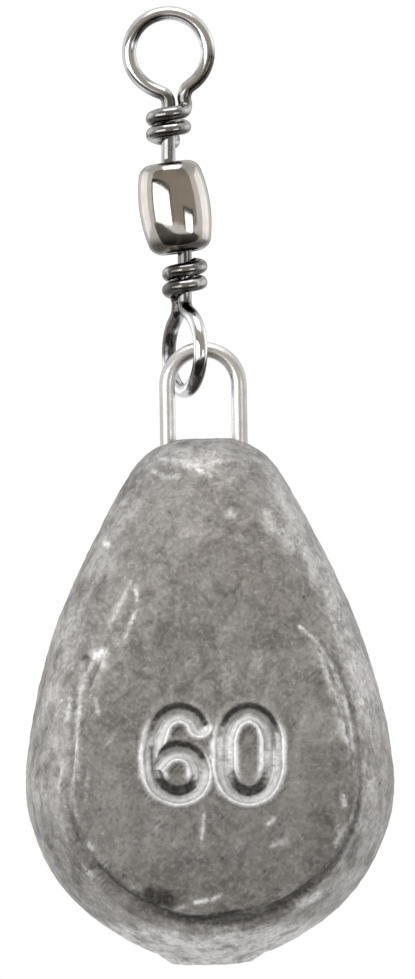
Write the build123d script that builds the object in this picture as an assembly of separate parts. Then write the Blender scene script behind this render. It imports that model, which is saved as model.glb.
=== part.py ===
import math
import os

from build123d import *

# A 60 g pear lead cast on a wire loop, which hangs from the lower eye of a barrel swivel.
# Millimetres and degrees. +Z is up, the numbered side faces -Y, and the origin is the middle
# of the upper ring, where the line is tied.

# Wire loop
loop_wire = 0.9
loop_radius = 2.05  # of the arch, on the wire's middle
loop_stand = 3.05  # straight leg between the lead and the arch
leg_depth = 9.5  # of the feet, below the lead's top face
foot_bend = 1.2
foot_length = 1.6
cast_gap = 0.02

# Lead
lead_radius = 10.55
lead_upper_height = 19.7  # from the widest level up to the top face
flank_lean = 27.0  # of the straight flank, from the axis
top_land = 0.95  # of the top face outside the loop, before its edge is rounded
shoulder_radius = 4.0
belly_radius = 9.9
belly_turn = 50.0  # of the belly's arc, before the flatter base takes over
flat_depth = 6.2  # of each flat, from the middle plane
pad_height = 0.35  # of the raised pad on each flat
pad_root = 0.3  # of the pad, below the flat
pad_draft = 40.0
pad_land = 0.25  # between the pad's root and the lead's surface, at the sides
pad_top_land = 0.7  # the same, at the pad's top
pad_top_radius = 3.6
pad_belly_share = 0.88  # of the belly's own arc, at the pad's lower end
pad_shift = 0.2  # of both pads, across the lead
gate_radius = 3.0
gate_height = 0.05  # of the cut gate, below the base
gate_chamfer = 0.2

# Eyes of the swivel
eye_wire = 0.8
ring_radius = 2.27  # on the wire's middle
limb_angle = 34.0  # from the ring's lowest point to where each limb leaves it
neck_length = 0.65  # from the ring's middle line to where the shank runs straight
wrap_drop = 1.15  # from the ring's middle line to the first wrap
wrap_quarters = 7
wrap_gap = 0.1  # between the wraps and the shank
turn_gap = 0.12  # between one wrap and the next, along the shank
wrap_start = -30.0  # about the shank, from +X
head_lip = 0.25  # of the head, past the barrel's hole
head_height = 0.55
head_round = 0.12

# Barrel of the swivel
barrel_length = 5.2
barrel_wall = 0.4
barrel_end_wall = 0.5
barrel_end_land = 0.1  # flat rim round each hole
barrel_crown = 0.42  # drawn in, from the middle to each end
cavity_shoulder = 0.5
shank_clearance = 0.34
head_play = 0.65  # round the heads
end_play = 1.13  # of each eye, in and out

# How the pieces lie, slack in the link as they are laid out for sale
head_seat = 0.25  # between the upper head and the barrel's end wall
wrap_seat = 0.22  # between the lower wraps and the barrel
lower_eye_x = 0.93
upper_shift = 0.02  # of the upper shank, off the middle of its hole
lower_shift = 0.22  # the same, of the lower shank
ring_turn = 66.0  # of the lower ring, about its shank, from the upper ring's plane
hook_angle = 16.0  # along the arch, from its top to the lower ring
link_gap = 0.3
lead_lean = 0.95  # of the lead and its loop, about the link

overrun = 1.0  # of a cut, past the face that it opens
lead_density = 0.0113  # grams in a cubic millimetre
gap_samples = 600

# Sizes that follow
top_radius = loop_radius + loop_wire / 2 + top_land
wrap_radius = eye_wire + wrap_gap
wrap_pitch = eye_wire + turn_gap
neck_reach = ring_radius + neck_length
first_wrap = ring_radius + wrap_drop
wrap_reach = first_wrap + wrap_pitch * wrap_quarters / 4 + eye_wire / 2
head_reach = wrap_reach + end_play + barrel_end_wall
hole_radius = eye_wire / 2 + shank_clearance
head_radius = hole_radius + head_lip
barrel_radius = head_radius + head_play + barrel_wall
barrel_shoulder = barrel_radius - barrel_crown - hole_radius - barrel_end_land


def biarc(start, start_way, end, end_way):
    """Two arcs that meet smoothly between two points with given directions."""
    span = end - start
    a = 2 * (1 - start_way.dot(end_way))
    b = 2 * span.dot(start_way + end_way)
    reach = (math.sqrt(b * b + 4 * a * span.dot(span)) - b) / (2 * a)
    first = start + start_way * reach
    last = end - end_way * reach
    middle = (first + last) / 2
    return [
        Edge.make_tangent_arc(start, start_way, middle),
        Edge.make_tangent_arc(middle, (last - first).normalized(), end),
    ]


def tube(path, radius):
    """A round wire along a path."""
    section = Plane(origin=path @ 0, z_dir=path % 0) * Circle(radius)
    return sweep(section, path=path)


def ring_point(angle, side):
    """A point of the ring, by its angle from the lowest point, and the way up that side."""
    sine = math.sin(math.radians(angle))
    cosine = math.cos(math.radians(angle))
    point = Vector(side * ring_radius * sine, 0, -ring_radius * cosine)
    return point, Vector(side * cosine, 0, sine)


def wrap_point(quarter):
    """A point of the winding and its way down, turning clockwise from above."""
    angle = math.radians(wrap_start - 90 * quarter)
    level = -first_wrap - wrap_pitch * quarter / 4
    point = Vector(wrap_radius * math.cos(angle), wrap_radius * math.sin(angle), level)
    fall = wrap_pitch / (2 * math.pi)
    way = Vector(point.Y, -point.X, -fall)
    return point, way.normalized()


def eye_path():
    """Up the shank, round the ring and down again in wraps about the shank."""
    head_end = Vector(0, 0, -head_reach - head_height)
    neck = Vector(0, 0, -neck_reach)
    top = Vector(0, 0, ring_radius)
    left, left_way = ring_point(limb_angle, -1)
    right, right_way = ring_point(limb_angle, 1)
    edges = [Edge.make_line(head_end, neck)]
    edges += biarc(neck, Vector(0, 0, 1), left, left_way)
    edges += [Edge.make_three_point_arc(left, top, right)]
    edges += biarc(right, right_way * -1, *wrap_point(0))
    for quarter in range(wrap_quarters):
        edges += biarc(*wrap_point(quarter), *wrap_point(quarter + 1))
    return Wire(edges)


def least_gap(path, wire):
    """The least gap between stretches of one wire, on points along its middle."""
    points = [path @ (i / gap_samples) for i in range(gap_samples + 1)]
    apart = math.ceil(math.pi * wire / path.length * gap_samples)
    pairs = ((i, j) for i in range(len(points)) for j in range(i + apart, len(points)))
    return min((points[i] - points[j]).length for i, j in pairs) - wire


def make_eye(path):
    """An eye: ring, wound shank and the upset head that the barrel holds."""
    head = Cylinder(head_radius, head_height)
    head = fillet(head.edges().filter_by(GeomType.CIRCLE), head_round)
    return tube(path, eye_wire / 2) + Pos(0, 0, -head_reach - head_height / 2) * head


def barrel_half(radius, length, shoulder):
    """Half the outline of a bulged, round-shouldered barrel."""
    end_radius = radius - barrel_crown * length**2 / barrel_length**2
    low = Vector(end_radius, -length / 2)
    high = Vector(end_radius, length / 2)
    side = ThreePointArc(low, (radius, 0), high)
    ends = Polyline(high, (0, length / 2), (0, -length / 2), low)
    outline = make_face([*ends.edges(), side.edge()])
    corners = outline.vertices().sort_by(Axis.X)[-2:]
    return fillet(corners, shoulder)


def make_barrel():
    """The hollow barrel, swaged in over both heads."""
    outer = barrel_half(barrel_radius, barrel_length, barrel_shoulder)
    cavity_length = barrel_length - 2 * barrel_end_wall
    cavity = barrel_half(barrel_radius - barrel_wall, cavity_length, cavity_shoulder)
    shell = revolve(Plane.XZ * (outer - cavity), Axis.Z)
    return shell - Cylinder(hole_radius, barrel_length + 2 * overrun)


def loop_path(foot):
    """From one foot up its leg, over the arch and down to the other foot."""
    foot_x = loop_radius + foot_bend
    bend_level = foot_bend - leg_depth
    diagonal_share = math.cos(math.radians(45))
    bend_x = foot_x - foot_bend * diagonal_share
    bend_z = bend_level - foot_bend * diagonal_share
    sides = []
    for side in (-1, 1):
        toe = Vector(side * (foot_x + foot), 0, -leg_depth)
        heel = Vector(side * foot_x, 0, -leg_depth)
        middle = Vector(side * bend_x, 0, bend_z)
        ankle = Vector(side * loop_radius, 0, bend_level)
        shoulder = Vector(side * loop_radius, 0, loop_stand)
        bend = Edge.make_three_point_arc(heel, middle, ankle)
        sides += [Edge.make_line(toe, heel), bend, Edge.make_line(ankle, shoulder)]
    left = Vector(-loop_radius, 0, loop_stand)
    top = Vector(0, 0, loop_stand + loop_radius)
    right = Vector(loop_radius, 0, loop_stand)
    return Wire([*sides, Edge.make_three_point_arc(left, top, right)])


def belly_arcs(half_width, level, radius):
    """The lower end of an outline, from its widest point to the axis, in two arcs."""
    turn_share = math.cos(math.radians(belly_turn))
    base_radius = (half_width - radius * (1 - turn_share)) / turn_share
    belly = JernArc((half_width, level), (0, -1), radius, -belly_turn)
    base = JernArc(belly @ 1, belly % 1, base_radius, belly_turn - 90)
    return [belly, base]


def flank_arc():
    """The bulge above the widest level, as far as the straight flank."""
    lean = math.radians(flank_lean)
    drawn_in = lead_upper_height * math.tan(lean) - (lead_radius - top_radius)
    radius = drawn_in / (1 / math.cos(lean) - 1)
    return CenterArc((lead_radius - radius, -lead_upper_height), radius, 0, flank_lean)


def make_pear():
    """The pear of revolution, from its top face down."""
    flank = flank_arc()
    belly = belly_arcs(lead_radius, -lead_upper_height, belly_radius)
    top = Line((0, 0), (top_radius, 0))
    axis = Line(belly[-1] @ 1, (0, 0))
    outline = make_face([top, Line(top @ 1, flank @ 1), flank, *belly, axis])
    shoulder = outline.vertices().group_by(Axis.Y)[-1].sort_by(Axis.X)[-1]
    return revolve(Plane.XZ * fillet(shoulder, shoulder_radius), Axis.Z)


def make_pad():
    """The raised pad, drawn out towards -Y with sloping walls."""
    root_depth = flat_depth - pad_root
    half_width = math.sqrt(lead_radius**2 - root_depth**2) - pad_land
    flank_end = flank_arc() @ 1
    straight = (flank_end.X - root_depth) / math.tan(math.radians(flank_lean))
    rise = lead_upper_height + flank_end.Y + straight - pad_top_land
    top_level = rise - pad_top_radius
    side_radius = (top_level**2 + half_width**2 - pad_top_radius**2) / 2
    side_radius /= half_width - pad_top_radius
    side_x = half_width - side_radius
    turn = math.degrees(math.atan2(top_level, -side_x))
    side = CenterArc((side_x, 0), side_radius, 0, turn)
    top = CenterArc((0, top_level), pad_top_radius, turn, 90 - turn)
    belly = belly_arcs(half_width, 0, pad_belly_share * belly_radius * half_width / lead_radius)
    axis = Line(belly[-1] @ 1, top @ 1)
    half = make_face([*belly, axis, top, side])
    outline = half + mirror(half, Plane.YZ)
    pad = extrude(Plane.XZ * outline, pad_root + pad_height, taper=pad_draft)
    return Pos(pad_shift, -root_depth, -lead_upper_height) * pad


def make_lead():
    """The casting: pear, two flats with raised pads, cut gate and the wire's channel."""
    pear = make_pear()
    base_level = pear.bounding_box().min.Z
    lead = pear & Box(2 * lead_radius, 2 * flat_depth, -2 * base_level)
    pad = make_pad()
    lead += [pad, mirror(pad, Plane.XZ)]
    gate = Cylinder(gate_radius, 2 * gate_height + 2 * overrun)
    gate = chamfer(gate.edges().group_by(Axis.Z)[0], gate_chamfer)
    lead += Pos(0, 0, base_level + overrun) * gate
    return lead - tube(loop_path(foot_length + cast_gap), loop_wire / 2 + cast_gap)


# Places
barrel_level = head_seat - head_reach - barrel_length / 2 + barrel_end_wall
lower_ring_level = barrel_level - barrel_length / 2 - wrap_seat - wrap_reach
hole_span = barrel_length - barrel_end_wall
hole_shift = lower_eye_x - lower_shift - upper_shift
barrel_lean = math.degrees(math.asin(hole_shift / hole_span))
barrel_x = (lower_eye_x - lower_shift + upper_shift) / 2
ring_inset = ring_radius - eye_wire / 2 - loop_wire / 2 - link_gap
hook_x = lower_eye_x + ring_inset * math.cos(math.radians(ring_turn))
hook_y = -ring_inset * math.sin(math.radians(ring_turn))
lead_side = loop_radius * math.sin(math.radians(hook_angle))
lead_drop = loop_radius * math.cos(math.radians(hook_angle)) + loop_stand

hook_place = Pos(hook_x, hook_y, lower_ring_level)
lead_place = hook_place * Rot(0, -lead_lean, 0) * Pos(lead_side, 0, -lead_drop)
barrel_place = Pos(barrel_x, 0, barrel_level) * Rot(0, -barrel_lean, 0)
lower_place = Pos(lower_eye_x, 0, lower_ring_level) * Rot(0, 0, -ring_turn) * Rot(0, 180, 0)

wire_path = eye_path()
eye = make_eye(wire_path)
lead = make_lead()
pieces = {
    "upper_eye": eye,
    "lower_eye": lower_place * eye,
    "swivel_barrel": barrel_place * make_barrel(),
    "wire_loop": lead_place * tube(loop_path(foot_length), loop_wire / 2),
    "lead_body": lead_place * lead,
}

os.makedirs("parts", exist_ok=True)
for name, piece in pieces.items():
    solid = piece.solids()[0]
    solid.label = name
    export_step(solid, f"parts/{name}.step")

print("least gap of an eye's wire to itself:", round(least_gap(wire_path, eye_wire), 3), "mm")
print("lead weighs", round(lead.volume * lead_density, 1), "g")
print("loop hinge", round(hook_x, 4), round(hook_y, 4), round(lower_ring_level, 4))
print("lead top", *(round(v, 4) for v in lead_place.position))
print("lead widest", *(round(v, 4) for v in (lead_place * Pos(0, 0, -lead_upper_height)).position))
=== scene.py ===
import math

import bmesh
import bpy
import numpy as np
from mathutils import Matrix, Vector, noise


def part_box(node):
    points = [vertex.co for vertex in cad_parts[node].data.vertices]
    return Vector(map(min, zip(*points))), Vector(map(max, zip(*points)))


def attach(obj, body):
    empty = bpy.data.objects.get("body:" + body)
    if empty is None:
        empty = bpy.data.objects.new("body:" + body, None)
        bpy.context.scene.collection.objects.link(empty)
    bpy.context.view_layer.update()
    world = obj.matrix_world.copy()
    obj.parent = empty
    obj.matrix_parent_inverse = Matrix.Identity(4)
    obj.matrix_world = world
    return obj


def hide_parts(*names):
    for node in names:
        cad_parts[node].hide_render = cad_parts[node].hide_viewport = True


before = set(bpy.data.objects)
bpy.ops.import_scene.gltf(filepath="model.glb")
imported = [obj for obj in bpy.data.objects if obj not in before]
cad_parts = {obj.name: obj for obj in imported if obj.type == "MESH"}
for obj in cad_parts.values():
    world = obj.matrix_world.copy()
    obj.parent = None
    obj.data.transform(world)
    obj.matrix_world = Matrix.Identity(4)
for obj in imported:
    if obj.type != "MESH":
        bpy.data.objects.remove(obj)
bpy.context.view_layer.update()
mm = 0.001
print("frame loaded")


# helpers
def pickOnly(obj):
    if bpy.context.mode != "OBJECT":
        bpy.ops.object.mode_set(mode="OBJECT")
    bpy.ops.object.select_all(action="DESELECT")
    obj.select_set(True)
    bpy.context.view_layer.objects.active = obj


def applied(obj, kind, **settings):
    pickOnly(obj)
    modifier = obj.modifiers.new(kind.lower(), kind)
    for name, value in settings.items():
        setattr(modifier, name, value)
    bpy.ops.object.modifier_apply(modifier=modifier.name)


def copyOfNode(nodeName, pieceName):
    piece = bpy.data.objects.new(pieceName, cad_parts[nodeName].data.copy())
    bpy.context.scene.collection.objects.link(piece)
    piece.data.materials.clear()
    pickOnly(piece)
    bpy.ops.object.mode_set(mode="EDIT")
    bpy.ops.mesh.select_all(action="SELECT")
    bpy.ops.mesh.remove_doubles(threshold=0.0005 * mm)
    bpy.ops.object.mode_set(mode="OBJECT")
    return piece


def points(obj):
    flat = np.zeros(len(obj.data.vertices) * 3)
    obj.data.vertices.foreach_get("co", flat)
    return flat.reshape(-1, 3)


def normals(obj):
    flat = np.zeros(len(obj.data.vertices) * 3)
    obj.data.vertices.foreach_get("normal", flat)
    return flat.reshape(-1, 3)


def movePoints(obj, places):
    obj.data.vertices.foreach_set("co", places.ravel())
    obj.data.update()


def paint(obj, name, values):
    layer = obj.data.attributes.get(name) or obj.data.attributes.new(name, "FLOAT", "POINT")
    layer.data.foreach_set("value", np.asarray(values, np.float32))


def ramp(x, low, high):
    t = np.clip((x - low) / (high - low), 0, 1)
    return t * t * (3 - 2 * t)


def cloud(places, size, seed=0.0, octaves=3):
    shift = Vector((seed, seed * 1.7, seed * 0.6))
    return np.array([noise.fractal(Vector(p) / size + shift, 0.6, 2.0, octaves) for p in places])


def neighbourMean(obj, values):
    ends = np.zeros(len(obj.data.edges) * 2, int)
    obj.data.edges.foreach_get("vertices", ends)
    ends = ends.reshape(-1, 2)
    total = np.zeros_like(values)
    count = np.zeros(len(values))
    for a, b in ((0, 1), (1, 0)):
        np.add.at(total, ends[:, a], values[ends[:, b]])
        np.add.at(count, ends[:, a], 1)
    return total / (count[:, None] if values.ndim == 2 else count)


# camera
cameraSet = {"lens": 200, "sensor": 36, "centreX": 2.24 * mm, "centreZ": -25.08 * mm, "tall": 56.19 * mm}
cameraData = bpy.data.cameras.new("camera")
cameraData.lens = cameraSet["lens"]
cameraData.sensor_width = cameraSet["sensor"]
cameraData.clip_start = 0.01
camera = bpy.data.objects.new("camera", cameraData)
distance = cameraSet["tall"] * cameraSet["lens"] / cameraSet["sensor"]
camera.location = (cameraSet["centreX"], -distance, cameraSet["centreZ"])
camera.rotation_euler = (math.radians(90), 0, 0)
bpy.context.scene.collection.objects.link(camera)
bpy.context.scene.camera = camera
bpy.context.scene.view_settings.view_transform = "Standard"
print("camera set")


# materials
def shader(name):
    material = bpy.data.materials.new(name)
    material.use_nodes = True
    tree = material.node_tree
    return material, tree, tree.nodes["Principled BSDF"]


def addNode(tree, kind, links=None, **values):
    made = tree.nodes.new(kind)
    for name, value in values.items():
        if name in made.inputs:
            made.inputs[name].default_value = value
        else:
            setattr(made, name, value)
    for name, socket in (links or {}).items():
        tree.links.new(socket, made.inputs[name])
    return made


def noiseNode(tree, where, size, detail=4.0, rough=0.55, distortion=0.0):
    made = addNode(tree, "ShaderNodeTexNoise", {"Vector": where}, Scale=1 / size, Detail=detail)
    made.inputs["Roughness"].default_value = rough
    made.inputs["Distortion"].default_value = distortion
    return made.outputs["Fac"]


def stretched(tree, where, turn, scale):
    made = addNode(tree, "ShaderNodeMapping", {"Vector": where}, vector_type="TEXTURE")
    made.inputs["Rotation"].default_value = [math.radians(a) for a in turn]
    made.inputs["Scale"].default_value = scale
    return made.outputs["Vector"]


def spread(tree, value, low, high, outLow=0.0, outHigh=1.0):
    made = addNode(tree, "ShaderNodeMapRange", {"Value": value})
    for name, number in (("From Min", low), ("From Max", high), ("To Min", outLow), ("To Max", outHigh)):
        made.inputs[name].default_value = number
    return made.outputs["Result"]


def mixColour(tree, amount, first, second):
    made = tree.nodes.new("ShaderNodeMix")
    made.data_type = "RGBA"
    sockets = {"A": made.inputs[6], "B": made.inputs[7], "Factor": made.inputs[0]}
    for key, value in (("A", first), ("B", second), ("Factor", amount)):
        if isinstance(value, bpy.types.NodeSocket):
            tree.links.new(value, sockets[key])
        elif key == "Factor":
            sockets[key].default_value = value
        else:
            sockets[key].default_value = (*value, 1)
    return made.outputs[2]


def mathNode(tree, operation, a, b):
    made = tree.nodes.new("ShaderNodeMath")
    made.operation = operation
    for i, value in enumerate((a, b)):
        if isinstance(value, bpy.types.NodeSocket):
            tree.links.new(value, made.inputs[i])
        else:
            made.inputs[i].default_value = value
    return made.outputs[0]


leadFinish = {
    "dark": (0.165, 0.155, 0.146), "mid": (0.300, 0.286, 0.272), "pale": (0.46, 0.448, 0.436),
    "bareAndLight": (0.93, 0.925, 0.92), "grimeAndShade": (0.028, 0.025, 0.022),
    "blotchSize": 5.0 * mm, "mottleSize": 1.1 * mm, "fineSize": 0.26 * mm, "speckSize": 0.55 * mm,
    "fleck": 0.7, "pit": 0.55, "bump": 0.07 * mm, "scratchSize": 0.30 * mm, "scratchLong": 9,
    "scratches": ((38, 0.0), (-24, 3.1), (82, 7.7)),  # turn, seed
}


def leadMaterial():
    material, tree, surface = shader("castLead")
    where = addNode(tree, "ShaderNodeTexCoord").outputs["Object"]
    broad = noiseNode(tree, where, leadFinish["blotchSize"], 3.0, 0.5, 0.6)
    mottle = noiseNode(tree, where, leadFinish["mottleSize"], 6.0, 0.66, 0.5)
    fine = noiseNode(tree, where, leadFinish["fineSize"], 5.0, 0.66, 0.3)
    cells = addNode(tree, "ShaderNodeTexVoronoi", {"Vector": where}, Scale=1 / leadFinish["speckSize"])
    cells.inputs["Randomness"].default_value = 1.0
    speck = cells.outputs["Distance"]
    wearAndLight = addNode(tree, "ShaderNodeAttribute", attribute_name="wearAndLight").outputs["Fac"]
    grimeAndShade = addNode(tree, "ShaderNodeAttribute", attribute_name="grimeAndShade").outputs["Fac"]
    bareAndLight = addNode(tree, "ShaderNodeAttribute", attribute_name="bareAndLight").outputs["Fac"]
    colour = mixColour(tree, spread(tree, mottle, 0.38, 0.60), leadFinish["dark"], leadFinish["mid"])
    colour = mixColour(tree, spread(tree, broad, 0.42, 0.70, 0, 0.45), colour, leadFinish["pale"])
    colour = mixColour(tree, spread(tree, fine, 0.50, 0.70, 0, 0.60), colour, leadFinish["pale"])
    colour = mixColour(tree, spread(tree, fine, 0.46, 0.30, 0, 0.65), colour, leadFinish["dark"])
    # short scratches in three directions
    for turn, seed in leadFinish["scratches"]:
        place = stretched(tree, where, (0, turn, 0), (1, 1, leadFinish["scratchLong"]))
        drag = addNode(tree, "ShaderNodeTexNoise", {"Vector": place}, Detail=2.0)
        drag.inputs["Scale"].default_value = 1 / leadFinish["scratchSize"]
        drag.noise_dimensions = "4D"
        drag.inputs["W"].default_value = seed
        line = spread(tree, drag.outputs["Fac"], 0.73, 0.81, 0, 0.14)
        colour = mixColour(tree, line, colour, leadFinish["bareAndLight"])
    # bright flecks and dark pits
    fleck = mathNode(tree, "MULTIPLY", spread(tree, speck, 0.20, 0.08), spread(tree, mottle, 0.56, 0.70))
    fleck = mathNode(tree, "MULTIPLY", fleck, leadFinish["fleck"])
    colour = mixColour(tree, fleck, colour, leadFinish["bareAndLight"])
    pit = mathNode(tree, "MULTIPLY", spread(tree, speck, 0.26, 0.10), spread(tree, mottle, 0.47, 0.38))
    pit = mathNode(tree, "MULTIPLY", pit, leadFinish["pit"])
    colour = mixColour(tree, pit, colour, leadFinish["grimeAndShade"])
    # painted wear and light, scrapes with painted highlights, and grime with painted shade
    rubAndLight = mathNode(tree, "MULTIPLY", wearAndLight, spread(tree, fine, 0.30, 0.60, 0.70, 1.0))
    colour = mixColour(tree, rubAndLight, colour, leadFinish["bareAndLight"])
    # bare metal, with painted highlights along the pad's edges and on the right flank and painted reflection
    # at the base
    scrapeAndLight = mathNode(tree, "MULTIPLY", bareAndLight, spread(tree, fine, 0.34, 0.60, 0.30, 1.0))
    colour = mixColour(tree, scrapeAndLight, colour, leadFinish["bareAndLight"])
    # grime and painted shade: dark in hollows, creases, under the pad and on the number's downward slopes
    soilAndShade = mathNode(tree, "MULTIPLY", grimeAndShade, spread(tree, fine, 0.62, 0.35, 0.80, 1.0))
    colour = mixColour(tree, soilAndShade, colour, leadFinish["grimeAndShade"])
    tree.links.new(colour, surface.inputs["Base Color"])
    shine = spread(tree, mottle, 0.3, 0.7, 0.58, 0.40)
    bright = mathNode(tree, "MAXIMUM", wearAndLight, bareAndLight)
    tree.links.new(spread(tree, bright, 0.2, 1.0, 0.75, 0.15), surface.inputs["Metallic"])
    shine = mathNode(tree, "SUBTRACT", shine, mathNode(tree, "MULTIPLY", bright, 0.20))
    tree.links.new(shine, surface.inputs["Roughness"])
    height = mathNode(tree, "ADD", mathNode(tree, "MULTIPLY", fine, 0.45), mottle)
    bump = addNode(tree, "ShaderNodeBump", {"Height": height}, Strength=0.75, Distance=leadFinish["bump"])
    tree.links.new(bump.outputs["Normal"], surface.inputs["Normal"])
    return material


# colour, deeper colour, least and most roughness
wireFinish = {
    "barrel": ((0.50, 0.475, 0.44), (0.42, 0.395, 0.36), 0.07, 0.15),
    "eye": ((0.67, 0.675, 0.68), (0.55, 0.55, 0.55), 0.10, 0.22),
    "loop": ((0.70, 0.695, 0.69), (0.60, 0.595, 0.59), 0.32, 0.44),
    "tarnishAndShade": (0.036, 0.029, 0.024), "stainSize": 1.6 * mm, "grainSize": 0.12 * mm, "bump": 0.006 * mm,
}


def wireMaterial(name, colour, deep, roughLow, roughHigh):
    material, tree, surface = shader(name)
    where = addNode(tree, "ShaderNodeTexCoord").outputs["Object"]
    stain = noiseNode(tree, where, wireFinish["stainSize"], 4.0, 0.6)
    grain = noiseNode(tree, where, wireFinish["grainSize"], 3.0, 0.6)
    tarnishAndShade = addNode(tree, "ShaderNodeAttribute", attribute_name="tarnishAndShade").outputs["Fac"]
    tone = mixColour(tree, spread(tree, stain, 0.35, 0.68), colour, deep)
    # tarnish, with painted shade and painted dark reflections on the eyes, loop and barrel
    dullAndShade = mathNode(tree, "MULTIPLY", tarnishAndShade, spread(tree, grain, 0.65, 0.35, 0.9, 1.0))
    tone = mixColour(tree, dullAndShade, tone, wireFinish["tarnishAndShade"])
    tree.links.new(tone, surface.inputs["Base Color"])
    surface.inputs["Metallic"].default_value = 1.0
    tree.links.new(spread(tree, stain, 0.3, 0.7, roughLow, roughHigh), surface.inputs["Roughness"])
    bump = addNode(tree, "ShaderNodeBump", {"Height": grain}, Strength=0.2, Distance=wireFinish["bump"])
    tree.links.new(bump.outputs["Normal"], surface.inputs["Normal"])
    return material


castLead = leadMaterial()
nickel = wireMaterial("nickelBarrel", *wireFinish["barrel"])
nickelWire = wireMaterial("nickelWire", *wireFinish["eye"])
tinnedWire = wireMaterial("tinnedWire", *wireFinish["loop"])
print("materials made")


# lead casting
leadSet = {
    "middle": (2.3604 * mm, -1.0232 * mm, -41.8678 * mm), "lean": 0.95, "top": 19.7 * mm,
    "flat": 6.2 * mm, "padHeight": 0.35 * mm,
    "loopRadius": 2.05 * mm, "wire": 0.9 * mm, "voxel": 0.18 * mm, "gateTaper": 0.22 * mm,
    # the wire's channel, below the top
    "channelReach": 0.56, "channelFacing": -0.6, "channelEnd": -10.5 * mm,
    "footLevel": -7 * mm, "footReach": 6 * mm, "footHalf": 0.6 * mm,
    # from the bottom up: how far the pad is raised, and how softly the flats end
    "padAt": np.array([-8.3, -5, 2, 6, 9.5, 11.6]) * mm,
    "padRise": np.array([0.38, 0.14, -0.02, -0.14, -0.32, -0.35]) * mm,
    "softAt": np.array([-1, 4, 9]) * mm, "soft": np.array([0.3, 1.2, 2.6]) * mm,
    # and how far the outline is drawn in
    "tuckAt": np.array([-9.8, -9.5, -8.6, -6.2, -2.8, -0.2, 0.7, 2.4, 6, 8, 10.2, 12.5, 17.4,
                        18.6, 19.3]) * mm,
    "tuck": np.array([0.14, 0.30, 0.24, 0.19, 0.13, 0, 0, 0.19, 0.22, 0.2, 0.14, 0, 0.05, 0.32, 0.1]) * mm,
    "swell": 0.09 * mm, "ripple": 0.035 * mm, "grit": 0.016 * mm, "dent": 0.05 * mm,
    "mouldLine": 0.05 * mm, "mouldWidth": 0.13 * mm,
}
# the number: half width and skew in dots, lip, and rubbed edge with painted light, in half widths from the
# middle of a stroke
digitSet = {
    "half": 9.3, "skew": -2.4, "depth": 0.42 * mm, "lip": 0.11 * mm, "split": (200, 764), "wall": 1.25,
    "lipAt": 1.18, "lipWide": 0.26, "rubAt": 1.12, "rubWide": 0.36,
}
# strokes of the number, knocks, dents, painted shade lines and painted highlights: places in the picture's
# dots
pictureSet = {"wide": 415, "tall": 979, "faceDepth": 7.7 * mm}
digitStrokes = {
    "six": [(200, 729), (193, 719), (178, 714), (163, 722), (155, 742), (153, 766), (159, 788), (178, 797),
            (195, 790), (200, 774), (194, 758), (179, 752), (165, 756), (154, 768)],
    "nought": [(249, 714), (234, 721), (226, 737), (225, 756), (226, 775), (234, 791), (249, 797),
               (264, 791), (272, 775), (273, 756), (272, 737), (264, 721), (249, 714)],
}
# width in dots and strength follow the places
# scrapes, and painted highlights along the pad's side edges
scrapesAndEdgeGlints = [
    ([(134, 586), (137, 601), (133, 616), (125, 640)], 3.6, 0.6), ([(95, 656), (102, 653)], 9, 1.0),
    ([(300, 627), (303, 628)], 4, 1.0), ([(230, 514), (233, 515)], 8, 0.7),
    ([(103, 544), (107, 545)], 6, 0.7), ([(266, 515), (272, 529)], 12, 0.5),
    ([(281, 531), (292, 549)], 11, 0.42), ([(204, 814), (202, 838)], 3.5, 1.0),
    ([(267, 825), (274, 819)], 4, 0.9), ([(272, 846), (284, 840)], 7, 0.5),
    ([(196, 902), (206, 900)], 5, 1.0), ([(211, 900), (219, 896)], 4, 0.8),
    ([(351, 722), (352, 748)], 4, 0.55), ([(343, 796), (345, 806)], 5, 0.8),
    ([(336, 842), (341, 834)], 5, 0.6), ([(152, 471), (168, 477), (178, 476)], 5, 0.6),
    ([(196, 469), (210, 476)], 4.5, 0.6), ([(160, 458), (185, 462)], 6, 0.6),
    ([(184, 466), (200, 464)], 4.5, 0.5), ([(131, 582), (121, 602), (109, 627)], 4.5, 0.5),
    ([(321, 655), (327, 675), (332, 695)], 6, 0.5), ([(361, 698), (363, 703)], 8, 0.5),
    ([(70, 700), (66, 720)], 6, 0.5), ([(300, 906), (318, 896)], 9, 0.6),
    ([(303, 630), (316, 642), (330, 662), (340, 688)], 4, 0.55),
    ([(344, 700), (350, 722), (353, 750)], 4, 0.4), ([(97, 656), (86, 676), (80, 694)], 3.5, 0.5),
    ([(80, 690), (78, 722), (77, 748), (78, 780)], 4, 0.5), ([(88, 768), (86, 800)], 4, 0.4),
    ([(177, 909), (184, 907)], 4, 0.6), ([(96, 700), (98, 716)], 5, 0.4),
]
backScrapes = [
    ([(150, 620), (156, 636), (163, 655)], 3.5, 0.7), ([(262, 560), (280, 575)], 7, 0.5),
    ([(118, 760), (126, 800)], 4, 0.6), ([(300, 700), (309, 742)], 4, 0.6),
    ([(205, 850), (232, 846)], 4.5, 0.7), ([(228, 690), (246, 672)], 3, 0.5),
    ([(170, 505), (184, 517)], 8, 0.5), ([(330, 690), (338, 720)], 6, 0.5),
    ([(80, 690), (76, 722)], 6, 0.5), ([(180, 465), (210, 472)], 6, 0.7),
    ([(190, 762), (198, 790)], 3, 0.45), ([(262, 815), (280, 806)], 4, 0.6),
]
dents = [
    ([(214, 833), (219, 837)], 6, 0.6), ([(226, 596), (240, 588)], 5, 0.6),
    ([(222, 540), (236, 531)], 4, 0.3), ([(184, 690), (212, 660), (216, 648)], 5, 0.38),
    ([(176, 654), (186, 676), (192, 690)], 4.5, 0.32), ([(66, 840), (82, 862)], 12, 0.35),
]
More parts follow.
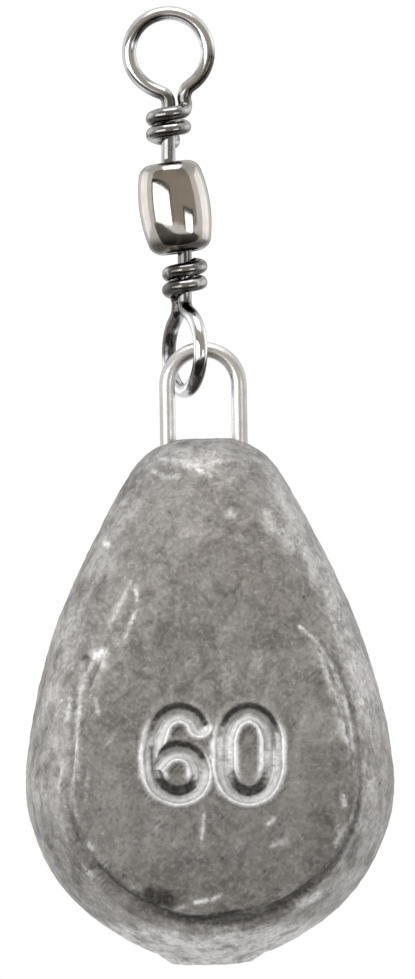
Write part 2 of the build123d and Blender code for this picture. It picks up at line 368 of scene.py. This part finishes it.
# painted shade: dark lines in the crease round the pad's lower end and sides, and along strokes of the
# number
creaseShade = [
    ([(68, 808), (83, 836), (102, 866)], 8, 0.45),
    ([(100, 866), (115, 880), (130, 891), (155, 906)], 7, 0.8), ([(151, 894), (167, 899)], 18, 1.3),
    ([(150, 901), (175, 915), (200, 918), (240, 912)], 7.5, 1.2),
    ([(240, 912), (280, 902), (310, 883), (335, 860), (352, 831)], 7, 0.75),
    ([(303, 640), (311, 655), (317, 675), (322, 700)], 13, 0.42), ([(340, 712), (343, 746)], 10, 0.42),
    ([(350, 835), (357, 812), (360, 790)], 5.5, 0.8),
    ([(360, 795), (359, 745), (351, 704), (338, 670), (322, 642)], 4.5, 0.6),
    ([(75, 690), (72, 716), (71, 742), (72, 776)], 4.5, 0.45), ([(83, 659), (86, 658)], 6, 0.9),
    ([(119, 498), (133, 493)], 5, 0.45), ([(197, 560), (203, 548), (214, 541)], 4, 0.3),
    ([(271, 722), (275, 748)], 6, 0.6), ([(151, 748), (153, 770), (158, 784)], 6, 0.75),
]


def leadPlaces(places):
    middle = np.array(leadSet["middle"])
    lean = math.radians(leadSet["lean"])
    away = places - middle
    x = away[:, 0] * math.cos(lean) + away[:, 2] * math.sin(lean)
    z = away[:, 2] * math.cos(lean) - away[:, 0] * math.sin(lean)
    return x, away[:, 1], z


def fromPicture(dots):
    near = distance - pictureSet["faceDepth"]
    step = cameraSet["tall"] / pictureSet["tall"] * near / distance
    x = cameraSet["centreX"] + (np.array(dots)[:, 0] - pictureSet["wide"] / 2) * step
    z = cameraSet["centreZ"] - (np.array(dots)[:, 1] - pictureSet["tall"] / 2) * step
    x, _, z = leadPlaces(np.stack([x, 0 * x, z], 1))
    return np.stack([x, z], 1), step


def strokeLine(marks, steps=14):
    marks = np.array(marks)
    closed = np.allclose(marks[0], marks[-1])
    before = marks[-2] if closed else 2 * marks[0] - marks[1]
    after = marks[1] if closed else 2 * marks[-1] - marks[-2]
    run = np.vstack([before, marks, after])
    line = []
    for i in range(1, len(run) - 2):
        a, b, c, d = run[i - 1:i + 3]
        for t in np.linspace(0, 1, steps, endpoint=False):
            line.append(0.5 * (2 * b + (c - a) * t + (2 * a - 5 * b + 4 * c - d) * t * t
                               + (3 * b - a - 3 * c + d) * t ** 3))
    return np.array(line + [run[-2]])


def nearest(places, line):
    best = np.full(len(places), 1e9)
    for p in line:
        best = np.minimum(best, ((places - p) ** 2).sum(1))
    return np.sqrt(best)


def digitAway(x, z):
    flatPlace = np.stack([x, z], 1)
    best = np.full(len(x), 1e9)
    above = np.zeros(len(x))
    for dots in digitStrokes.values():
        line, step = fromPicture(dots)
        for p in strokeLine(line):
            gap = flatPlace - p
            away = np.sqrt((gap ** 2).sum(1)) + 1e-9
            closer = away < best
            best = np.where(closer, away, best)
            above = np.where(closer, gap[:, 1] / away, above)
    return best / ((digitSet["half"] - digitSet["skew"] * above) * step), above


def marksOn(piece, marks, reach=1.0, side=-1):
    x, y, z = leadPlaces(points(piece))
    flatPlace = np.stack([x, z], 1)
    strength = np.zeros(len(x))
    for dots, width, amount in marks:
        line, step = fromPicture(dots)
        away = nearest(flatPlace, strokeLine(line))
        strength = np.maximum(strength, amount * np.exp(-(away / (0.55 * width * step * reach)) ** 2))
    return np.where(side * y > 2 * mm, strength, 0)


def selectFaces(piece, near):
    pickOnly(piece)
    bpy.ops.object.mode_set(mode="EDIT")
    bpy.ops.mesh.select_all(action="DESELECT")
    mesh = bmesh.from_edit_mesh(piece.data)
    for face in mesh.faces:
        face.select_set(all(near[v.index] for v in face.verts))
    bmesh.update_edit_mesh(piece.data)


def smoothWhere(piece, weights, turns):
    group = piece.vertex_groups.new(name="soft")
    for i in np.nonzero(weights > 0.01)[0]:
        group.add([int(i)], float(weights[i]), "REPLACE")
    applied(piece, "SMOOTH", factor=0.5, iterations=turns, vertex_group="soft")
    piece.vertex_groups.clear()


def leadCasting():
    piece = copyOfNode("lead_body", "leadCasting")
    # the wire's channel is closed, so that the lead grips the wire
    bpy.ops.object.mode_set(mode="EDIT")
    mesh = bmesh.from_edit_mesh(piece.data)
    faces = list(mesh.faces)
    x, y, z = leadPlaces(np.array([face.calc_center_median() for face in faces]))
    for face, fx, fy, fz in zip(faces, x, y, z - leadSet["top"]):
        away = Vector((fx - math.copysign(leadSet["loopRadius"], fx), fy, 0))
        inwards = face.normal.dot(away.normalized()) < leadSet["channelFacing"]
        onLeg = inwards and away.length < leadSet["channelReach"] * leadSet["wire"]
        nearFoot = abs(fx) < leadSet["footReach"] and abs(fy) < leadSet["footHalf"]
        onFoot = nearFoot and fz < leadSet["footLevel"]
        face.select_set(bool((onLeg or onFoot) and fz > leadSet["channelEnd"]))
    bmesh.update_edit_mesh(piece.data)
    bpy.ops.mesh.delete(type="FACE")
    bpy.ops.mesh.select_all(action="SELECT")
    bpy.ops.mesh.fill_holes(sides=0)
    bpy.ops.object.mode_set(mode="OBJECT")
    applied(piece, "REMESH", mode="VOXEL", voxel_size=leadSet["voxel"])
    applied(piece, "SMOOTH", factor=0.5, iterations=2)
    _, _, z = leadPlaces(points(piece))
    smoothWhere(piece, ramp(-z, 9.2 * mm, 9.9 * mm), 10)
    standPad(piece)
    blendFlats(piece)
    # finer faces where the number and the knocks are
    for turn in range(2):
        x, y, z = leadPlaces(points(piece))
        away, _ = digitAway(x, z)
        near = (away < 1.5) & (y < -leadSet["flat"])
        if turn == 0:
            near |= marksOn(piece, scrapesAndEdgeGlints + dents, 1.6) + marksOn(piece, backScrapes, 1.6, 1) > 0.1
        selectFaces(piece, near)
        bpy.ops.mesh.subdivide(number_cuts=1, smoothness=0)
        bpy.ops.object.mode_set(mode="OBJECT")
    return piece


def blendFlats(piece):
    # the flats run out softly into the round of the upper half
    places = points(piece)
    x, y, z = leadPlaces(places)
    steps = np.linspace(z.min(), z.max(), 140)
    seam = np.abs(y) < 0.4 * mm
    girth = np.array([np.abs(x[seam & (np.abs(z - s) < 0.3 * mm)]).max(initial=0) for s in steps])
    radius = np.interp(z, steps, girth)
    roundDepth = np.sqrt(np.maximum(radius ** 2 - x ** 2, 0))
    flatDepth = leadSet["flat"]
    soft = np.interp(z, leadSet["softAt"], leadSet["soft"])
    share = np.clip(0.5 + 0.5 * (flatDepth - roundDepth) / soft, 0, 1)
    depth = flatDepth + (roundDepth - flatDepth) * share - soft * share * (1 - share)
    blend = ramp(z, -1 * mm, 3 * mm) * ramp(np.abs(y), 2.5 * mm, 4 * mm)
    places[:, 1] += np.sign(y) * blend * (depth - np.minimum(roundDepth, flatDepth))
    movePoints(piece, places)
    smoothWhere(piece, ramp(z, 6 * mm, 9 * mm) * ramp(np.abs(y), 2.5 * mm, 4 * mm), 30)


def standPad(piece):
    # the pad stands proud at its lower end and dies away at its top
    flat = leadSet["flat"]
    places = points(piece)
    _, y, z = leadPlaces(places)
    onPad = ramp(np.abs(y), flat + 0.02 * mm, flat + 0.9 * leadSet["padHeight"])
    rise = np.interp(z, leadSet["padAt"], leadSet["padRise"])
    places[:, 1] += np.sign(y) * onPad * rise
    movePoints(piece, places)
    edge = ramp(np.abs(y), 5.0 * mm, 5.8 * mm) * ramp(-z, 4 * mm, 6.5 * mm)
    smoothWhere(piece, edge, 2)


def shapeLead(piece):
    places = points(piece)
    facing = normals(piece)
    x, y, z = leadPlaces(places)
    front = y < 0
    # uneven casting
    swell = cloud(places, 7 * mm, 3.0, 2) * leadSet["swell"]
    swell = swell + cloud(places, 1.6 * mm, 8.0, 3) * leadSet["ripple"]
    grit = cloud(places, 0.45 * mm, 5.0, 2) * leadSet["grit"]
    # number
    inFront = front & (facing[:, 1] < -0.4)
    away, above = digitAway(x, z)
    groove = np.where(inFront, np.clip(1 - away ** digitSet["wall"], 0, 1), 0)
    lip = np.where(inFront, np.exp(-((away - digitSet["lipAt"]) / digitSet["lipWide"]) ** 2), 0)
    lip = lip * (1 - 0.9 * ramp(above, 0.1, 0.6))
    places[:, 1] += groove * digitSet["depth"] - lip * digitSet["lip"]
    pit = marksOn(piece, dents)
    places[:, 1] += np.where(front, pit * leadSet["dent"], 0)
    # outline, cut gate and the mould line round the edge
    gate = leadSet["gateTaper"] * ramp(-z, 9.75 * mm, 10.2 * mm) * ramp(np.hypot(x, y), 0, 2.8 * mm)
    shifts = np.linspace(-1, 1, 5) * mm
    drawn = [np.interp(z + shift, leadSet["tuckAt"], leadSet["tuck"]) for shift in shifts]
    tuck = np.mean(drawn, 0) * ramp(np.abs(facing[:, 0]), 0.15, 0.45) + gate
    line = np.exp(-(y / leadSet["mouldWidth"]) ** 2) * (0.6 + 0.4 * cloud(places, 2.5 * mm, 2.0, 1))
    outward = np.stack([x, y, 0 * z], 1) / np.maximum(np.hypot(x, y), 0.1 * mm)[:, None]
    places += facing * (swell + grit + line * leadSet["mouldLine"])[:, None] - outward * tuck[:, None]
    movePoints(piece, places)
    # rubbed lips of the number with painted light, lighter below a stroke's middle than above it
    rubAndLight = np.where(inFront, np.exp(-((away - digitSet["rubAt"]) / digitSet["rubWide"]) ** 2), 0)
    return groove, rubAndLight * (1 - 0.9 * ramp(above, 0.0, 0.7))


# how strong each kind of wear, grime, painted light and painted shade is
wearSet = {
    "bendUnit": 0.01 * mm, "number": 0.30, "shadeUnderPad": 0.15, "top": 0.16, "pad": 0.30, "stains": 0.38,
    "bareTop": 0.25, "bareAndSheenBase": 0.50, "bareSides": 0.14, "flankLight": 0.24,
}


def greatest(*masks):
    best = masks[0]
    for mask in masks[1:]:
        best = np.maximum(best, mask)
    return best


def wearLead(piece, groove, lip):
    places = points(piece)
    facing = normals(piece)
    x, y, z = leadPlaces(places)
    depth = np.abs(y)
    bend = ((places - neighbourMean(piece, places)) * facing).sum(1)
    for _ in range(3):
        bend = neighbourMean(piece, bend)
    bend = bend / wearSet["bendUnit"]
    patch = cloud(places, 2.2 * mm, 11.0, 3)
    fresh = cloud(places, 0.9 * mm, 21.0, 3)
    sides = ramp(np.abs(facing[:, 0]), 0.45, 0.70) * ramp(z, -8 * mm, -5 * mm)
    clear = 1 - ramp(groove, 0, 0.1)

    # rubbed edges, and painted light on the number's upward slopes, lips and groove floors
    high = ramp(z, -6.5 * mm, -3.5 * mm)
    high = high * (1 - 0.85 * ramp(z, 7 * mm, 9.5 * mm) * ramp(depth, 3 * mm, 4 * mm))
    edges = np.clip(bend - 0.15, 0, 1) * ramp(patch, -0.35, 0.35) * (0.1 + 0.9 * high) * clear
    lit = ramp(facing[:, 2], -0.30, 0.05) * ramp(groove, 0.02, 0.15)
    lit = lit * (1 - 0.5 * ramp(groove, 0.66, 0.92))
    lit = greatest(neighbourMean(piece, lit), wearSet["number"] * ramp(groove, 0.45, 0.65))
    wearAndLight = greatest(edges, greatest(lip, lit) * (0.90 + 0.10 * ramp(fresh, -0.5, 0.2)))

    # grime and painted shade in hollows, fainter at the lower left
    lowLeft = ramp(-x, 2.5 * mm, 4.5 * mm) * ramp(-z, 2 * mm, 4 * mm)
    hollowGrimeAndShade = np.clip(-bend * 0.9 - 0.12, 0, 0.75) * (1 - 0.5 * ramp(groove, 0, 0.2))
    hollowGrimeAndShade = hollowGrimeAndShade * (1 - 0.55 * lowLeft)
    # painted shade: the number's upper slopes are dark at their edge only, those under the counters all over
    split = fromPicture([digitSet["split"]])[0][0, 1]
    edge = ramp(-facing[:, 2], 0.10, 0.32) * (1 - 0.9 * ramp(groove, 0.60, 0.78))
    slope = np.where(z < split, ramp(-facing[:, 2], 0.03, 0.30), edge) * ramp(groove, 0.0, 0.05)
    shade = greatest(slope, 0.08 * ramp(groove, 0.50, 0.80))
    shade = neighbourMean(piece, neighbourMean(piece, shade))
    # painted shade under the pad's lower edge
    grimeAndShadeBelow = wearSet["shadeUnderPad"] * ramp(-facing[:, 2], 0.14, 0.42)
    grimeAndShadeBelow = grimeAndShadeBelow * ramp(depth, 5.7 * mm, 6.1 * mm) * clear
    # darker towards the top and over the lower pad
    darkTopAndPad = wearSet["top"] * ramp(z, 15.5 * mm, 18 * mm)
    darkTopAndPad = darkTopAndPad + wearSet["pad"] * ramp(-z, -7 * mm, 3 * mm) * ramp(depth, 6 * mm, 6.4 * mm)
    grimeAndShade = greatest(hollowGrimeAndShade, shade, grimeAndShadeBelow * ramp(fresh, -0.9, 0.0), darkTopAndPad,
                     wearSet["stains"] * sides * ramp(patch, 0.0, 0.45),
                     marksOn(piece, dents) * ramp(fresh, -0.6, 0.2),
                     marksOn(piece, creaseShade) * ramp(fresh, -1.5, -0.5))

    # bare metal at the top, on the sides and in knocks; bare metal with painted reflection at the base;
    # painted highlights along the pad's edges and on the right flank
    top = wearSet["bareTop"] * ramp(z, 16.9 * mm, 19.0 * mm) * ramp(fresh, -0.3, 0.2)
    baseWearAndSheen = wearSet["bareAndSheenBase"] * ramp(-z, 7.2 * mm, 8.2 * mm) * ramp(fresh, -0.9, 0.4)
    knocksAndEdgeGlints = marksOn(piece, scrapesAndEdgeGlints) + marksOn(piece, backScrapes, 1, 1)
    flankHighlight = wearSet["flankLight"] * ramp(z, 1 * mm, 6 * mm) * ramp(facing[:, 0], 0.45, 0.80)
    bareAndLight = greatest(top, baseWearAndSheen, knocksAndEdgeGlints * ramp(fresh, -1.0, -0.2),
                    sides * greatest(wearSet["bareSides"] * ramp(-patch, 0.05, 0.45), flankHighlight))
    for name, mask in (("wearAndLight", wearAndLight), ("grimeAndShade", grimeAndShade), ("bareAndLight", bareAndLight)):
        paint(piece, name, np.clip(mask, 0, 1))


lead = leadCasting()
grooveShare, lipWearAndLight = shapeLead(lead)
wearLead(lead, grooveShare, lipWearAndLight)
pickOnly(lead)
bpy.ops.object.shade_smooth()
lead.data.materials.append(castLead)
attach(lead, "lead")
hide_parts("lead_body")
print("lead casting made", len(lead.data.polygons), "faces")


# swivel and loop
def wirePiece(nodeName, pieceName, body, finish):
    piece = copyOfNode(nodeName, pieceName)
    pickOnly(piece)
    bpy.ops.object.shade_smooth_by_angle(angle=math.radians(40))
    piece.data.materials.append(finish)
    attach(piece, body)
    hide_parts(nodeName)
    return piece


def cutShank(piece, levels):
    # the straight shank gets points along it, for the paint
    pickOnly(piece)
    bpy.ops.object.mode_set(mode="EDIT")
    for level in levels:
        bpy.ops.mesh.select_all(action="SELECT")
        bpy.ops.mesh.bisect(plane_co=(0, 0, level), plane_no=(0, 0, 1))
    bpy.ops.object.mode_set(mode="OBJECT")


# painted shade: the loop is darker along its outward-facing sides
loopSet = {"middle": 2.36 * mm, "dullAndShade": 0.5}


def shadeLoopSides(piece):
    outer = normals(piece)[:, 0] * np.sign(points(piece)[:, 0] - loopSet["middle"])
    paint(piece, "tarnishAndShade", loopSet["dullAndShade"] * ramp(outer, 0.35, 0.85))


# the barrel is darker at its ends, most at the bottom
barrelSet = {"shoulder": 1.15 * mm, "fade": 0.5 * mm, "above": 0.35, "below": 0.95}


def darkenBarrelEnds(piece):
    bottom, top = (corner[2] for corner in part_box("swivel_barrel"))
    height = points(piece)[:, 2]
    blotch = cloud(points(piece), 1.2 * mm, 9.0, 3)
    lowEnd = barrelSet["below"] * ramp(bottom + barrelSet["shoulder"] - height, 0, barrelSet["fade"])
    highEnd = barrelSet["above"] * ramp(height - top + barrelSet["shoulder"], 0, barrelSet["fade"])
    paint(piece, "tarnishAndShade", greatest(lowEnd, highEnd) * ramp(blotch, -1.0, 0.0))


# the eyes are tarnished between the wraps, at the neck and on the shank and darker on the ring's inner side,
# with painted shade under the wraps, on the arch and on the ring's left side, and painted dark reflections
# along the limbs
eyeSet = {
    "ring": 2.27 * mm, "link": (0.93 * mm, 0, -17.16 * mm), "shank": np.arange(2.7, 6.3, 0.3) * mm,
    "inner": 0.5, "neck": 0.8, "upperShank": 0.55, "outer": 0.5,
    "arch": 0.9, "darkLimbReflection": 0.95, "lowerShank": 0.85,
}


def between(value, start, full, fade, end):
    return ramp(value, start * mm, full * mm) * ramp(-value, -end * mm, -fade * mm)


def darkenEye(piece, centre, way, marks):
    places = points(piece) - np.array(centre)
    facing = normals(piece)
    blotch = cloud(points(piece), 0.9 * mm, 4.0, 3)
    # tarnish on the wraps, darker on their undersides as painted shade
    grimeAndShadeBelow = (0.6 + 0.4 * ramp(-facing[:, 2], -0.1, 0.5)) * ramp(blotch, -1.2, -0.2)
    inner = ramp(-(places * facing).sum(1) / eyeSet["ring"], 0.1, 0.7) * ramp(blotch, -0.4, 0.3)
    dullAndShade = marks(places, facing, blotch, -way * places[:, 2], grimeAndShadeBelow)
    paint(piece, "tarnishAndShade", np.clip(greatest(dullAndShade, eyeSet["inner"] * inner), 0, 1))


def upperMarks(places, facing, blotch, down, grimeAndShadeBelow):
    x, z = places[:, 0], places[:, 2]
    wraps = between(down, 2.5, 3.1, 4.8, 5.2)
    lowRight = ramp(x, 0.2 * mm, 0.8 * mm) * ramp(-z, -0.4 * mm, 0.2 * mm)
    topLeft = ramp(-x, 0, 0.6 * mm) * ramp(z, 0.2 * mm, 0.8 * mm)
    # painted dark reflection along the ring's lower right and upper left
    reflectionStreak = ramp(facing[:, 0] * 0.75 - facing[:, 2] * 0.66, -0.1, 0.25) * greatest(lowRight, topLeft)
    neck = eyeSet["neck"] * between(down, 2.2, 2.5, 3.0, 3.3)
    shank = eyeSet["upperShank"] * ramp(down, 4.8 * mm, 5.2 * mm)
    # painted shade on the ring's outer left side
    outer = eyeSet["outer"] * ramp(-facing[:, 0], 0.35, 0.85) * ramp(-x, 1.2 * mm, 1.8 * mm)
    return greatest(wraps * grimeAndShadeBelow, neck, shank, reflectionStreak * (1 - wraps), outer)


def lowerMarks(places, facing, blotch, down, grimeAndShadeBelow):
    x, z = places[:, 0], places[:, 2]
    wraps = between(down, 1.7, 2.4, 4.8, 5.2)
    # painted shade on the arch under the wraps
    arch = eyeSet["arch"] * between(down, 1.9, 2.3, 2.8, 3.2)
    # painted dark reflections on the ring's left and right limbs
    left = ramp(-x, 0.10 * mm, 0.40 * mm) * ramp(z, -0.6 * mm, -0.1 * mm)
    right = ramp(x, 0.2 * mm, 0.5 * mm) * ramp(-z, 0.2 * mm, 0.8 * mm)
    darkLimbReflection = eyeSet["darkLimbReflection"] * greatest(left, right) * ramp(blotch, -1.2, -0.5)
    shank = eyeSet["lowerShank"] * ramp(down, 4.6 * mm, 5.0 * mm)
    return greatest(wraps * grimeAndShadeBelow, arch, darkLimbReflection, shank)


upperEye = wirePiece("upper_eye", "upperEye", "upper_eye", nickelWire)
lowerEye = wirePiece("lower_eye", "lowerEye", "lower_eye", nickelWire)
darkenBarrelEnds(wirePiece("swivel_barrel", "swivelBarrel", "barrel", nickel))
shadeLoopSides(wirePiece("wire_loop", "wireLoop", "lead", tinnedWire))
cutShank(upperEye, -eyeSet["shank"])
cutShank(lowerEye, eyeSet["link"][2] + eyeSet["shank"])
darkenEye(upperEye, (0, 0, 0), 1, upperMarks)
darkenEye(lowerEye, eyeSet["link"], -1, lowerMarks)
print("swivel and loop made")


# studio
def seenRays(tree):
    # the camera, glass and shiny metal see a white background
    rays = addNode(tree, "ShaderNodeLightPath")
    seen = mathNode(tree, "MAXIMUM", rays.outputs["Is Camera Ray"], rays.outputs["Is Transmission Ray"])
    return mathNode(tree, "MAXIMUM", seen, rays.outputs["Is Glossy Ray"])


floorSet = {
    "level": -90 * mm, "half": 3.0, "tone": 0.86, "shadowNear": 0.05, "shadowFar": 0.30, "shadowShare": 0.70,
}
bpy.ops.object.select_all(action="DESELECT")
bpy.ops.mesh.primitive_plane_add(size=2 * floorSet["half"], location=(0, 0, floorSet["level"]))
floor = bpy.context.object
floor.name = "studioFloor"
floorFinish, tree, surface = shader("paleFloor")
surface.inputs["Base Color"].default_value = (*3 * [floorSet["tone"]], 1)
surface.inputs["Roughness"].default_value = 0.9
glow = addNode(tree, "ShaderNodeEmission", Strength=1.0)
glow.inputs["Color"].default_value = (1, 1, 1, 1)
# the floor is white further off and keeps the shadow below the object
where = addNode(tree, "ShaderNodeTexCoord").outputs["Object"]
reach = addNode(tree, "ShaderNodeVectorMath", {0: where}, operation="LENGTH").outputs["Value"]
share = spread(tree, reach, floorSet["shadowNear"], floorSet["shadowFar"], floorSet["shadowShare"], 1.0)
share = mathNode(tree, "MULTIPLY", seenRays(tree), share)
both = addNode(tree, "ShaderNodeMixShader", {"Fac": share})
tree.links.new(surface.outputs[0], both.inputs[1])
tree.links.new(glow.outputs[0], both.inputs[2])
tree.links.new(both.outputs[0], tree.nodes["Material Output"].inputs["Surface"])
floor.data.materials.append(floorFinish)

# places to aim at, brightness of the lamps, dark borders and the fill light
studioSet = {
    "middle": (2 * mm, 0, -25 * mm), "swivel": (0, 0, -12 * mm), "key": 3.0, "rim": 0.8,
    "borderGap": 0.01, "borderTone": (0.04, 0.037, 0.034), "fill": (0.50, 0.50, 0.50),
}


def softbox(name, place, aim, width, height, radiance, border=0):
    data = bpy.data.lights.new(name, "AREA")
    data.shape = "RECTANGLE"
    data.size = width
    data.size_y = height
    data.energy = radiance * math.pi * width * height
    lamp = bpy.data.objects.new(name, data)
    lamp.location = place
    away = (Vector(aim) - Vector(place)).normalized()
    lamp.rotation_euler = away.to_track_quat("-Z", "Y").to_euler()
    bpy.context.scene.collection.objects.link(lamp)
    if border:
        # a dark border behind the lamp, seen in the shiny barrel
        turn = [math.degrees(a) for a in lamp.rotation_euler]
        behind = Vector(place) - studioSet["borderGap"] * away
        flag(name + "Frame", behind, turn, width + 2 * border, height + 2 * border, studioSet["borderTone"])


def flag(name, place, turn, width, height, tone):
    bpy.ops.object.select_all(action="DESELECT")
    bpy.ops.mesh.primitive_plane_add(size=1, location=place, rotation=[math.radians(a) for a in turn])
    card = bpy.context.object
    card.name = name
    card.scale = (width, height, 1)
    card.visible_camera = False
    card.visible_diffuse = False
    card.visible_shadow = False
    material, tree, _ = shader(name)
    glow = addNode(tree, "ShaderNodeEmission", Strength=1.0)
    glow.inputs["Color"].default_value = (*tone, 1)
    tree.links.new(glow.outputs[0], tree.nodes["Material Output"].inputs["Surface"])
    card.data.materials.append(material)


flag("frontFlag", (0, -0.42, 0), (90, 0, 0), 2.6, 1.6, (0.46, 0.41, 0.345))
flag("lowFlag", (0, -0.12, -0.085), (0, 0, 0), 0.6, 0.16, (0.14, 0.13, 0.12))
flag("backFlag", (0, 0.60, 0), (90, 0, 0), 0.45, 0.45, (0.16, 0.15, 0.14))
for side, name in ((-1, "leftRim"), (1, "rightRim")):
    softbox(name, (side * 0.28, 0.13, -0.03), studioSet["middle"], 0.22, 0.40, studioSet["rim"])
softbox("leftBox", (-0.20, -0.22, -0.03), studioSet["swivel"], 0.32, 0.20, studioSet["key"], 0.04)
softbox("rightBox", (0.22, -0.24, -0.055), studioSet["swivel"], 0.15, 0.11, studioSet["key"], 0.03)
softbox("topBox", (0.0, -0.13, 0.34), studioSet["middle"], 0.34, 0.26, studioSet["key"])

world = bpy.data.worlds.new("studio")
bpy.context.scene.world = world
world.use_nodes = True
tree = world.node_tree
tree.nodes.clear()
colour = mixColour(tree, seenRays(tree), studioSet["fill"], (1, 1, 1))
back = addNode(tree, "ShaderNodeBackground", {"Color": colour}, Strength=1.0)
addNode(tree, "ShaderNodeOutputWorld", {"Surface": back.outputs[0]})
print("studio made")
